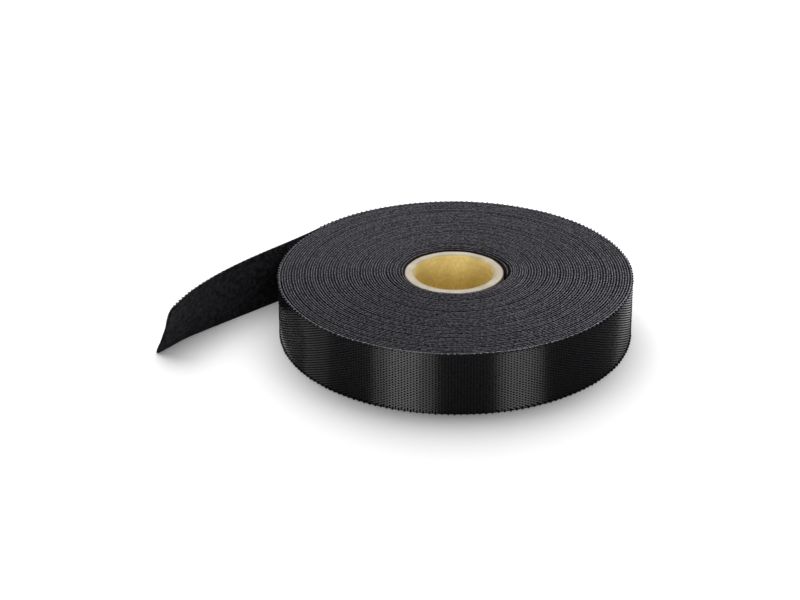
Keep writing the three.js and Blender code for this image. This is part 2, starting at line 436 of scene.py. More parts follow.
def stamp(path, lift, shape, offset, height, scale, shift=None):
    """Copies of a shape at each station, at an offset, a height and a shift along the tape there. The
    shape's first axis runs along the tape, its second away from it on the hook side, and its third up.
    Returns points and faces."""
    _, along, across, up = frame_of(path, lift)
    moved = None if shift is None else shift[:, None]
    base = place(path, lift, offset[:, None], height[:, None], moved)
    local = shape.points[None] * scale[:, None, None]
    points = base + local[..., :1] * along[:, None]
    points = points - local[..., 1:2] * across[:, None] + local[..., 2:] * up[:, None]
    count = len(shape.points)
    first = (np.arange(len(offset)) * count)[:, None, None]
    groups = [((first + faces[None]).reshape(-1, faces.shape[1]), slot) for faces, slot in shape.faces]
    return points.reshape(-1, 3), groups


def prism(low, top, cap):
    """Closed shape between two matching outlines in millimetres, with the material cap on its top."""
    count = len(low)
    near = np.arange(count)
    after = np.roll(near, -1)
    belt = np.stack([near, after, after + count, near + count], axis=-1)
    points = np.concatenate([low, top]) * MM
    return Shape(points, [(belt, 0), (near[None, ::-1], 0), (near[None] + count, cap)])


def free_hook_shape(tape):
    """One moulded hook that nothing presses down: a mushroom profile along the tape, thicker across the
    tape at its foot than at its crown, with its foot sunk into the film. It is a little larger than one
    between turns, and slimmer across."""
    along = np.array([-0.17, 0.17, 0.1, 0.215, 0.15, -0.15, -0.215, -0.1])
    share = np.array([-0.2, -0.2, 0.42, 0.64, 1.0, 1.0, 0.64, 0.42])
    half = np.array([0.16, 0.16, 0.13, 0.12, 0.1, 0.1, 0.12, 0.13])
    side = np.column_stack([along, share * tape.hook / MM, half])
    shape = prism(side * (1, 1, -1), side, 0)
    larger = (1.15, 1.1, 0.76)
    return Shape(shape.points * larger, shape.faces)


def cut_hook_shape(height):
    """Hook that the slitting knife has cut through: a block that narrows outwards, with a level cut top
    in the second material."""
    x = np.array([-0.2, 0.2, 0.16, -0.16])
    y = np.array([-0.1, -0.1, 1.0, 1.0]) * height / MM
    low = np.column_stack([x * 0.8, y, np.full(4, -0.34)])
    top = np.column_stack([x, y, np.zeros(4)])
    return prism(low, top, 1)


def spikes(base, direction, size, radius):
    """Closed three-sided spikes that stand on their base points and end a size away in a direction of
    any length. A spike that would reach the floor is raised off it and points upwards instead."""
    direction = direction / np.linalg.norm(direction, axis=1)[:, None]
    base = np.column_stack([base[:, :2], np.maximum(base[:, 2], radius * 1.3)])
    rise = direction[:, 2]
    rise = np.where(base[:, 2] + rise * size < radius * 0.3, np.abs(rise), rise)
    direction = np.column_stack([direction[:, :2], rise])
    slant = (0.31, 0.17, 0.94)
    side = np.cross(direction, slant)
    side /= np.linalg.norm(side, axis=1)[:, None]
    other = np.cross(direction, side)
    turn = np.arange(3) * TURN / 3
    ring = np.cos(turn)[None, :, None] * side[:, None] + np.sin(turn)[None, :, None] * other[:, None]
    tip = base + direction * size[:, None]
    points = np.concatenate([base[:, None] + ring * radius, tip[:, None]], axis=1)
    faces = np.array([(0, 1, 3), (1, 2, 3), (2, 0, 3), (2, 1, 0)])
    first = (np.arange(len(base)) * 4)[:, None, None]
    return points.reshape(-1, 3), [((first + faces[None]).reshape(-1, 3), 0)]


def edge_drop(tape, swept):
    """How far the tape's edge lies below the roll's rim: slow sines in turns, quick ones along the
    tape, a bell curve in turns at each of a few turns that were wound lower or higher, and a dip next
    to the core that halves from turn to turn. It dies out at the tail."""
    turn = swept / TURN
    mean = 0.11
    least = 0.02
    drop = mean + waves(turn, [(0.04, 2.1, 0.3), (0.03, 5.7, 1.1), (0.03, 57.0, 0.2), (0.02, 133.0, 1.7)])
    lower = ((4.5, 0.03), (15.9, 0.06), (19.4, 0.05), (22.0, 0.05), (27.9, 0.05), (35.7, 0.07))
    higher = ((18.3, -0.12), (38.3, -0.08))
    for centre, depth in lower + higher:
        drop = drop + depth * bell(turn, centre, 0.5)
    dip = 0.5
    drop = np.clip(drop, least, None) + dip * 0.5**turn
    fade = unit((tape.turns - turn) / 0.2)
    return drop * fade * MM + least * MM


def gap_depth(tape, swept, first):
    """How much deeper the filling of the gap under the outermost turn lies: a set depth within so many
    radians of a middle angle, at the left and in front, on the one turn that ends so many turns before
    the tail."""
    middle = -1.87
    reach = 1.17
    depth = 1.2 * MM
    left = tape.turns - swept / TURN
    around = (tape.leave_angle - left * TURN + math.pi) % TURN - math.pi
    inside = (left > first) & (left < first + 1.0) & (np.abs(around - middle) < reach)
    return np.where(inside, depth, 0.0)


def edge_heights(tape, drop):
    """Heights of the tape's two edges: the lower one rises by half of what the upper one drops."""
    return drop * 0.5, tape.width - drop


def web_section(inner, outer, low, high, count=2):
    """Closed section of a web between two offsets, each one number or one a station: a rectangle with
    bevelled corners and so many points up each face. Low and high are its edges at each station. Returns
    offsets and heights, and which of the sides are edges."""
    inner = np.broadcast_to(inner, low.shape)[:, None]
    outer = np.broadcast_to(outer, low.shape)[:, None]
    face = np.ones((1, count))
    rim = np.concatenate([outer + BEVEL, inner - BEVEL], axis=1)
    offset = np.concatenate([rim, inner * face, rim[:, ::-1], outer * face], axis=1)
    share = np.linspace(0.0, 1.0, count)
    rising = (low + BEVEL)[:, None] + share * (high - low - 2 * BEVEL)[:, None]
    bottom = np.stack([low, low], axis=-1)
    top = np.stack([high, high], axis=-1)
    heights = np.concatenate([bottom, rising, top, rising[:, ::-1]], axis=1)
    plain = [0] * (count - 1)
    edges = np.array([1, 1, *plain, 1, 1, 1, *plain, 1])
    return offset, heights, edges


def lipped_section(inner, outer, low, high, lip):
    """Closed section of a web as above, whose outer face has a lip of a third material next to each of
    its edges. Returns offsets, heights and the material of each side."""
    offset, heights, _ = web_section(inner, outer, low, high, 4)
    near = low + BEVEL
    far = high - BEVEL
    heights[:, 8:] = np.stack([far, far - lip, near + lip, near], axis=-1)
    return offset, heights, np.array([1, 1, 0, 0, 0, 1, 1, 1, 2, 0, 2, 1])


def ribbed_section(tape, low, high):
    """Closed section of the hook web whose outer face carries a rib under each row of hooks. Each rib
    takes half the row spacing: a level foot of a sixth, then a flank that looks a little upwards, then a
    short return of a tenth. Returns offsets, heights and edge marks."""
    count = int((tape.width - 2 * BEVEL) / (tape.row / 2))
    tooth = np.arange(count, 0, -1)
    share = np.stack([tooth - 0.1, tooth - 0.84, tooth - 1.0], axis=-1).ravel() / count
    face = np.tile([-tape.film, -tape.film - tape.rib, -tape.film - tape.rib], count)
    offset = np.concatenate([[-tape.film + BEVEL, -BEVEL, 0.0, 0.0, -BEVEL, -tape.film + BEVEL], face])
    span = (high - low - 2 * BEVEL)[:, None]
    rim = np.stack([low, low, low + BEVEL, high - BEVEL, high, high], axis=-1)
    heights = np.concatenate([rim, (low + BEVEL)[:, None] + share * span], axis=1)
    edges = np.zeros(len(offset), int)
    edges[[0, 1, 3, 4, 5, len(offset) - 1]] = 1
    return np.broadcast_to(offset, heights.shape), heights, edges


def web_piece(name, path, lift, section, materials, cut=None):
    """Closed web swept through the stations, with the second material on its cut edges and ends. Cut
    gives the shifts along and across the tape for the heights of the section."""
    offset, height, edges = section
    shift, foot = cut(height) if cut else (None, 0.0)
    points = place(path, lift, offset + foot, height, shift)
    quads, start, end = sweep_faces(*height.shape)
    slots = np.broadcast_to(edges, quads.shape[:2]).ravel()
    groups = [(quads.reshape(-1, 4), slots), (start, 1), (end, 1)]
    return add_piece(name, points.reshape(-1, 3), groups, materials, ring=height.shape[1])


def ring_piece(name, profile, count, materials, roughen, arc=None):
    """Closed ring round the core's axis: a closed profile of radii and heights, turned through a whole
    circle or an arc. Roughen gives the shift of each point from its angle and its profile point. The
    last material is on the cut ends."""
    first, last = arc or (0.0, TURN)
    around = np.linspace(first, last, count, endpoint=arc is not None)
    shift = roughen(around[:, None], np.arange(len(profile))[None])
    radius = profile[None, :, 0] + shift[..., 0]
    points = np.stack([AXIS[0] + radius * np.cos(around)[:, None],
                       AXIS[1] + radius * np.sin(around)[:, None],
                       profile[None, :, 1] + shift[..., 1]], axis=-1)
    quads, start, end = sweep_faces(count, len(profile))
    middle = (profile[:, 1].min() + profile[:, 1].max()) / 2
    reach = np.abs(profile[:, 1] - middle)
    level = 0.985
    ends = ((reach + np.roll(reach, -1)) / 2 > reach.max() * level).astype(int) * (len(materials) - 1)
    groups = [(quads.reshape(-1, 4), np.tile(ends, count - 1))]
    if arc:
        groups += [(start, 0), (end, 0)]
    else:
        index = np.arange(count * len(profile)).reshape(count, -1)
        seam = np.stack([index[-1], np.roll(index[-1], -1), np.roll(index[0], -1), index[0]], axis=-1)
        groups.append((seam, ends))
    return add_piece(name, points.reshape(-1, 3), groups, materials)


def bevelled_profile(inner, outer, low, high, bevel, steps):
    """Closed profile of a tube's wall with bevelled corners and so many points across each end."""
    across = np.linspace(inner + bevel, outer - bevel, steps)
    bottom = np.column_stack([across, np.full(steps, low)])
    top = np.column_stack([across[::-1], np.full(steps, high)])
    outer_side = [(outer, low + bevel), (outer, (low + high) / 2), (outer, high - bevel)]
    inner_side = [(inner, high - bevel), (inner, (low + high) / 2), (inner, low + bevel)]
    return np.concatenate([bottom, outer_side, top, inner_side])


def new_group(name, inputs, outputs):
    """Empty shader node group with named sockets of given kinds. Returns it and its two end nodes."""
    group = bpy.data.node_groups.new(name, "ShaderNodeTree")
    for way, sockets in (("INPUT", inputs), ("OUTPUT", outputs)):
        for label, kind in sockets.items():
            group.interface.new_socket(label, in_out=way, socket_type=f"NodeSocket{kind}")
    return group, group.nodes.new("NodeGroupInput"), group.nodes.new("NodeGroupOutput")


def add_node(tree, kind, values=(), **settings_of_node):
    """New node with some sockets set, by name or number, and some of its own settings."""
    node = tree.nodes.new(kind)
    for key, value in settings_of_node.items():
        setattr(node, key, value)
    for key, value in dict(values).items():
        node.inputs[key].default_value = value
    return node


def join(tree, *wires):
    """Links in a node tree. A wire is a node, its output, another node and that one's input."""
    for source, output, target, entry in wires:
        tree.links.new(source.outputs[output], target.inputs[entry])


def speckle_group():
    """Node group: two noises of different grain, multiplied and spread between black and white, give a
    mask for whitened, broken or fibrous surfaces, and a height."""
    group, start, end = new_group(
        "Speckle",
        {"Vector": "Vector", "Grain": "Float", "Low": "Float", "High": "Float"},
        {"Mask": "Float", "Height": "Float"},
    )
    fine = add_node(group, "ShaderNodeTexNoise", {"Detail": 3.0, "Roughness": 0.62})
    coarse = add_node(group, "ShaderNodeTexNoise", {"Detail": 1.0})
    third = add_node(group, "ShaderNodeMath", {1: 0.31}, operation="MULTIPLY")
    blend = add_node(group, "ShaderNodeMath", operation="ADD")
    half = add_node(group, "ShaderNodeMath", {1: 0.5}, operation="MULTIPLY")
    spread = add_node(group, "ShaderNodeMapRange", interpolation_type="SMOOTHSTEP")
    join(
        group,
        (start, "Vector", fine, "Vector"),
        (start, "Vector", coarse, "Vector"),
        (start, "Grain", fine, "Scale"),
        (start, "Grain", third, 0),
        (third, 0, coarse, "Scale"),
        (fine, "Fac", blend, 0),
        (coarse, "Fac", blend, 1),
        (blend, 0, half, 0),
        (half, 0, spread, "Value"),
        (start, "Low", spread, "From Min"),
        (start, "High", spread, "From Max"),
        (spread, "Result", end, "Mask"),
        (half, 0, end, "Height"),
    )
    return group


def paper_group():
    """Node group: clouds, short fibres and sparse flecks of paper. The fibres are noise on coordinates
    drawn out along one axis; the flecks are the highest spots of a noise."""
    group, start, end = new_group(
        "Paper",
        {"Vector": "Vector", "Grain": "Float", "Base": "Color", "Shade": "Color", "Fleck": "Color",
         "Fleck amount": "Float"},
        {"Color": "Color", "Height": "Float"},
    )
    drawn = add_node(group, "ShaderNodeMapping", {"Scale": (1.0, 1.0, 0.8)})
    fibres = add_node(group, "ShaderNodeTexNoise", {"Detail": 4.0, "Roughness": 0.65, "Distortion": 0.6})
    clouds = add_node(group, "ShaderNodeTexNoise", {"Scale": 160.0, "Detail": 2.0})
    flecks = add_node(group, "ShaderNodeTexNoise", {"Scale": 2600.0, "Detail": 1.0, "Distortion": 0.4})
    tone = add_node(group, "ShaderNodeMath", operation="MULTIPLY")
    spread = add_node(group, "ShaderNodeMapRange", {"From Min": 0.14, "From Max": 0.38})
    high = add_node(group, "ShaderNodeMapRange", {"From Min": 0.58, "From Max": 0.7})
    amount = add_node(group, "ShaderNodeMath", operation="MULTIPLY")
    shade = add_node(group, "ShaderNodeMix", data_type="RGBA")
    spots = add_node(group, "ShaderNodeMix", data_type="RGBA")
    join(
        group,
        (start, "Vector", drawn, "Vector"),
        (start, "Vector", clouds, "Vector"),
        (start, "Vector", flecks, "Vector"),
        (drawn, "Vector", fibres, "Vector"),
        (start, "Grain", fibres, "Scale"),
        (fibres, "Fac", tone, 0),
        (clouds, "Fac", tone, 1),
        (tone, 0, spread, "Value"),
        (flecks, "Fac", high, "Value"),
        (high, "Result", amount, 0),
        (start, "Fleck amount", amount, 1),
        (spread, "Result", shade, "Factor"),
        (start, "Shade", shade, "A"),
        (start, "Base", shade, "B"),
        (amount, 0, spots, "Factor"),
        (shade, "Result", spots, "A"),
        (start, "Fleck", spots, "B"),
        (spots, "Result", end, "Color"),
        (fibres, "Fac", end, "Height"),
    )
    return group


def new_material(name, roughness, specular):
    """New material with a principled surface. Returns it, its tree, the surface and the node that gives
    object coordinates."""
    material = bpy.data.materials.new(name)
    material.use_nodes = True
    tree = material.node_tree
    surface = tree.nodes["Principled BSDF"]
    surface.inputs["Roughness"].default_value = roughness
    surface.inputs["Specular IOR Level"].default_value = specular
    return material, tree, surface, tree.nodes.new("ShaderNodeTexCoord")


def add_bump(tree, surface, relief, distance, strength):
    """Bump of so many metres from a node's height."""
    bump = add_node(tree, "ShaderNodeBump", {"Strength": strength, "Distance": distance})
    join(tree, (relief, "Height", bump, "Height"), (bump, "Normal", surface, "Normal"))


def add_group(tree, name, make, values):
    """Node for the shared group of that name, which is made the first time, with its values set."""
    group = bpy.data.node_groups.get(name) or make()
    return add_node(tree, "ShaderNodeGroup", values, node_tree=group)


def speckled_material(name, dark, light, grain, spread, roughness, specular, bump):
    """Material whose colour runs between two by the speckle group's mask, with its height as bump."""
    made = bpy.data.materials.get(name)
    if made:
        return made
    material, tree, surface, coordinates = new_material(name, roughness, specular)
    values = {"Grain": grain, "Low": spread[0], "High": spread[1]}
    speckle = add_group(tree, "Speckle", speckle_group, values)
    mix = add_node(tree, "ShaderNodeMix", {"A": (*dark, 1.0), "B": (*light, 1.0)}, data_type="RGBA")
    join(
        tree,
        (coordinates, "Object", speckle, "Vector"),
        (speckle, "Mask", mix, "Factor"),
        (mix, "Result", surface, "Base Color"),
    )
    add_bump(tree, surface, speckle, bump, strength=0.6)
    return material


def paint(name):
    """Colour of that name as numbers that can be multiplied."""
    return np.array(getattr(bpy.context.scene.part_colours, name))


def paper_material(name, tints, amount, grain, roughness, bump):
    """Paper or board from the paper group, with its fibres as bump. Tints are the names of the colours for
    its base, its shade and its flecks."""
    material, tree, surface, coordinates = new_material(name, roughness, specular=0.3)
    values = {"Grain": grain, "Fleck amount": amount}
    for label, tint in zip(("Base", "Shade", "Fleck"), tints):
        values[label] = (*paint(tint), 1.0)
    paper = add_group(tree, "Paper", paper_group, values)
    join(tree, (coordinates, "Object", paper, "Vector"), (paper, "Color", surface, "Base Color"))
    add_bump(tree, surface, paper, bump, strength=0.5)
    return material


def film_material():
    """Glossy black moulded plastic with a faint haze."""
    film = paint("film")
    return speckled_material(
        "hook_film", film, film * 1.5,
        grain=2600.0, spread=(0.35, 0.7), roughness=0.165, specular=0.26, bump=0.000004,
    )


def hook_material():
    """The hooks' own plastic, duller than the film between them."""
    film = paint("film")
    return speckled_material(
        "hook_heads", film * 1.2, film * 2.6,
        grain=2600.0, spread=(0.35, 0.7), roughness=0.42, specular=0.01, bump=0.000004,
    )


def edge_material(name="cut_edge", share=1.0):
    """Cut edge: black, broken by pale whitened spots. Share darkens it for the fabric, the film's outer
    lip, the tail and the hooks; on the cut hooks between the turns this darkening is painted shade."""
    return speckled_material(
        name, paint("edge_dark") * share, paint("edge_light") * share,
        grain=4200.0, spread=(0.42, 0.58), roughness=0.72, specular=0.3, bump=0.00006,
    )


def pile_material():
    """Matt black napped fabric."""
    pile = paint("pile")
    material = speckled_material(
        "loop_pile", pile * 0.3, pile * 3.6,
        grain=2200.0, spread=(0.4, 0.64), roughness=0.95, specular=0.1, bump=0.0001,
    )
    surface = material.node_tree.nodes["Principled BSDF"]
    surface.inputs["Sheen Weight"].default_value = 0.16
    surface.inputs["Sheen Roughness"].default_value = 0.45
    surface.inputs["Sheen Tint"].default_value = (0.5, 0.48, 0.5, 1.0)
    return material


def fibre_material():
    """Loose fibres, grey where they catch the light."""
    fibre = paint("fibre")
    return speckled_material(
        "edge_fibre", fibre * 0.2, fibre * 1.3,
        grain=2600.0, spread=(0.42, 0.64), roughness=0.7, specular=0.3, bump=0.00002,
    )


def dress(nodes):
    """The piece stands for CAD nodes, if any, which are hidden."""
    if nodes:
        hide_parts(*nodes)


def keep(piece, body, slot, *nodes):
    """The piece rides on a body and is dressed."""
    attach(piece, body)
    dress(nodes)


def swept_at(tape, distance):
    """Angle swept at distances along the winding from its inner end. The length of an Archimedean
    spiral to an angle s is nearly the inner radius times s plus the growth a radian times s squared
    over two, which is solved for s."""
    rate = (tape.outer_radius - tape.inner_radius) / tape.turns / TURN
    return (np.sqrt(tape.inner_radius**2 + 2 * rate * distance) - tape.inner_radius) / rate


def wound_length(tape):
    """Length of the wound tape: the mean radius times the whole angle."""
    return (tape.inner_radius + tape.outer_radius) / 2 * tape.turns * TURN


def outer_hook_stations(tape):
    """Angles swept at the hook columns of the outermost turn, back from just short of where the tape
    leaves, and the number of each column."""
    short = 0.004
    step = tape.column / (tape.outer_radius + tape.film)
    column = np.arange(int(OUTER_TURNS * TURN / step))
    return tape.turns * TURN - short - column * step, column


def hook_heights(tape, column, row):
    """Height of a hook: rows evenly apart, every other column half a row higher."""
    first = (tape.width - HOOK_ROWS * tape.row) / 2
    return first + tape.row / 4 + tape.row * row + np.where(column % 2, tape.row / 2, 0.0)


def hook_feet(tape, count):
    """Offsets of so many hooks' feet: inside the ribs, at two fifths of their height."""
    return np.full(count, -tape.film - tape.rib * 0.4)


def cut_hooks(kind, share, tape, path, offset, heights, scale):
    """Pieces of cut hooks along the tape's lower and upper edges, the lower ones upside down."""
    upright = cut_hook_shape(tape.hook)
    upside = Shape(upright.points * (1, 1, -1), upright.faces)
    materials = [hook_material(), edge_material(kind, share)]
    for edge, shape, height in (("upper", upright, heights[1]), ("lower", upside, heights[0])):
        points, groups = stamp(path, 0.0, shape, offset, height, scale)
        piece = add_piece(f"{kind}s_{edge}", points, groups, materials, False)
        keep(piece, "roll", "hook_plastic")


class BuildOperator(bpy.types.Operator):
    """Base of the operators that build a group of pieces."""

    bl_options = {"REGISTER", "UNDO"}

    def execute(self, context):
        self.build(context.scene)
        return {"FINISHED"}


class TAPE_OT_core(BuildOperator):
    """Builds the paperboard core: kraft liner, board, brown ply and adhesive tab"""

    bl_idname = "tape.core"
    bl_label = "Core"

    def build(self, scene):
        """Each layer is a bevelled tube wall turned round the axis. The cut ends are roughened by sines
        of the angle whose rates differ from point to point of the profile."""
        tape = scene.tape_sizes
        core = scene.core_sizes
        low = core.recess
        high = tape.width - core.recess

        def roughen(amount):
            def shift(around, point):
                radial = np.sin(around * (61 + point * 7) + point * 1.7) + np.sin(around * 23 + point)
                rise = np.sin(around * (87 + point * 5) + point * 2.3) + np.sin(around * 11 + point * 0.6)
                return np.stack([radial * amount * 0.3, rise * amount], axis=-1)
            return shift

        board = paper_material(
            "core_board_cut", ("board", "board_shade", "board_shade"),
            amount=0.5, grain=2200.0, roughness=0.9, bump=0.00009,
        )
        kraft = paper_material(
            "core_kraft_face", ("kraft", "kraft_shade", "fleck"),
            amount=0.55, grain=1100.0, roughness=0.62, bump=0.00002,
        )
        ply = paper_material(
            "core_brown_face", ("ply", "ply_shade", "ply_shade"),
            amount=0.6, grain=1500.0, roughness=0.85, bump=0.00004,
        )
        tab = paper_material(
            "tab_face", ("adhesive", "adhesive", "kraft"),
            amount=0.2, grain=900.0, roughness=0.5, bump=0.00001,
        )

        # Name, inner and outer radius, bevel, points across an end, materials, roughness, slot and CAD node
        layers = (
            ("core_kraft_liner", core.bore, core.board_inner, 0.12 * MM, 4, [kraft, board], 0.02 * MM,
             "core_kraft", "core_inner_liner"),
            ("core_board_tube", core.board_inner, core.board_outer, 0.18 * MM, 9, [board], 0.045 * MM,
             "core_paperboard", "core_board"),
            ("core_brown_ply", core.board_outer, core.outer, 0.1 * MM, 4, [ply], 0.03 * MM,
             "core_brown_ply", "core_outer_liner"),
        )
        for name, inner, outer, bevel, steps, materials, rough, slot, node in layers:
            profile = bevelled_profile(inner, outer, low, high, bevel, steps)
            piece = ring_piece(name, profile, 360, materials, roughen(rough))
            keep(piece, "roll", slot, node)
        start = tape.leave_angle - tape.turns * TURN
        under = tape.inner_radius - tape.fabric - tape.pile
        side = (tape.width - core.tab_width) / 2
        profile = bevelled_profile(core.outer, under, side, tape.width - side, 0.03 * MM, 3)
        piece = ring_piece(
            "start_tab_strip", profile, 40, [tab], roughen(0.005 * MM), (start, start + core.tab_angle)
        )
        keep(piece, "roll", "tab_adhesive", "start_tab")


class TAPE_OT_winding(BuildOperator):
    """Builds the wound webs: the buried turns, the ribbed outermost turn and the loop fabric"""

    bl_idname = "tape.winding"
    bl_label = "Winding"

    def build(self, scene):
        """Each web is a section swept along the spiral, with stations at even angles. The cut edges follow
        the edge drop at the top and a smaller one at the bottom."""
        tape = scene.tape_sizes
        total = tape.turns * TURN
        last = total - OUTER_TURNS * TURN

        # Angles at the stations of the buried turns, of the outermost one and of the whole fabric
        buried = np.linspace(0.0, last, 7000)
        outer = np.linspace(last, total, 400)
        whole = np.linspace(0.0, total, 7200)
        film = [film_material(), edge_material()]
        cloth = [pile_material(), edge_material("fabric_edge", 0.12)]

        def edges(swept, extra=0.0):
            return edge_heights(tape, edge_drop(tape, swept) + extra)

        lip = 0.2 * MM
        section = lipped_section(-BOND, -tape.film, *edges(buried), lip)
        lipped = [*film, edge_material("edge_lip", 0.2)]
        piece = web_piece("buried_hook_web", wound_path(tape, buried), 0.0, section, lipped)
        keep(piece, "roll", "hook_plastic", "hook_web")
        section = ribbed_section(tape, *edges(outer))
        piece = web_piece("outer_hook_turn", wound_path(tape, outer), 0.0, section, film)
        keep(piece, "roll", "hook_plastic", "hook_web")
        section = web_section(tape.fabric, BOND, *edges(whole, INSET))
        piece = web_piece("wound_loop_web", wound_path(tape, whole), 0.0, section, cloth)
        keep(piece, "roll", "loop_fabric", "loop_web")


class TAPE_OT_edges(BuildOperator):
    """Builds what shows between the turns: cut hooks and loose pile fibres along both edges"""

    bl_idname = "tape.edges"
    bl_label = "Edges"

    def build(self, scene):
        """Cut hooks stand at every column along the tape, every other one lower by half a row. Fibres
        start at random places on the pile side and lie mostly along the tape, inwards by random shares.
        Both lie deeper in the gap under the outermost turn."""
        tape = scene.tape_sizes
        rng = np.random.default_rng(7)
        total = wound_length(tape)
        margin = 4 * MM
        distance = np.arange(margin, total - margin, tape.column)
        swept = swept_at(tape, distance + rng.uniform(-0.12, 0.12, len(distance)) * MM)
        path = wound_path(tape, swept)
        bottom, top = edge_heights(tape, edge_drop(tape, swept))
        step = np.where(np.arange(len(swept)) % 2, tape.row / 2, 0.0)
        depth = step + rng.uniform(0.05, 0.26, len(swept)) * MM + gap_depth(tape, swept, 1.0)
        offset = np.full(len(swept), -tape.film)
        scale = rng.uniform(0.8, 1.1, len(swept))
        # The cut hooks between the turns take a quarter of the cut edge's colour, against 0.85 for those at
        # the open rim: painted shade of the gaps they stand in
        cut_hooks("cut_hook", 0.25, tape, path, offset, (bottom + depth, top - depth), scale)
        count = 46000
        swept = swept_at(tape, rng.uniform(0.0, 1.0, count) * total)
        path = wound_path(tape, swept)
        drop = edge_drop(tape, swept) + INSET + gap_depth(tape, swept, 0.0)
        _, along, across, up = frame_of(path, 0.0)
        offset = np.full((count, 1), tape.fabric - FIBRE_SUNK)
        for name, sign in (("upper", 1.0), ("upper_more", 1.0), ("lower", -1.0)):
            bottom, top = edge_heights(tape, drop + rng.uniform(-0.03, 0.3, count) * MM)
            height = top if sign > 0 else bottom
            base = place(path, 0.0, offset, height[:, None])[:, 0]
            inwards = rng.uniform(0.05, 0.9, (count, 1))
            lengthways = rng.choice((-1.0, 1.0), (count, 1)) * rng.uniform(0.4, 1.0, (count, 1))
            upwards = rng.uniform(-0.25, 0.25, (count, 1)) * sign
            direction = across * inwards + along * lengthways + up * upwards
            size = rng.uniform(0.3, 0.6, count) * MM
            points, groups = spikes(base, direction, size, FIBRE_RADIUS)
            piece = add_piece(f"edge_fibres_{name}", points, groups, [fibre_material()], False)
            keep(piece, "roll", "loop_fabric")


class TAPE_OT_hooks(BuildOperator):
    """Builds the moulded hooks of the outermost turn, even and odd columns apart, and its cut rim hooks"""

    bl_idname = "tape.hooks"
    bl_label = "Outer hooks"

    def build(self, scene):
        """A hook stands at every crossing of a column and a row, every other column half a row higher. At
        both rims the knife has cut through a hook at every other column, which stands out as a tooth."""
        tape = scene.tape_sizes
        rng = np.random.default_rng(11)
        swept, column = outer_hook_stations(tape)
        rows = np.arange(HOOK_ROWS)
        for name, first in (("even", 0), ("odd", 1)):
            columns = column[first::2]
            here = np.repeat(swept[first::2], HOOK_ROWS)
            height = hook_heights(tape, np.repeat(columns, HOOK_ROWS), np.tile(rows, len(columns)))
            here = here + rng.uniform(-0.04, 0.04, len(here)) * MM / tape.outer_radius
            scale = rng.uniform(0.92, 1.06, len(here))
            offset = hook_feet(tape, len(here))
            path = wound_path(tape, here)
            points, groups = stamp(path, 0.0, free_hook_shape(tape), offset, height, scale)
            piece = add_piece(f"outer_hooks_{name}", points, groups, [hook_material()], False)
            keep(piece, "roll", "hook_plastic")
        here = swept[1::2]
        heights = edge_heights(tape, edge_drop(tape, here))
        scale = rng.uniform(1.15, 1.45, len(here))
        offset = hook_feet(tape, len(here))
        cut_hooks("rim_hook", 0.85, tape, wound_path(tape, here), offset, heights, scale)


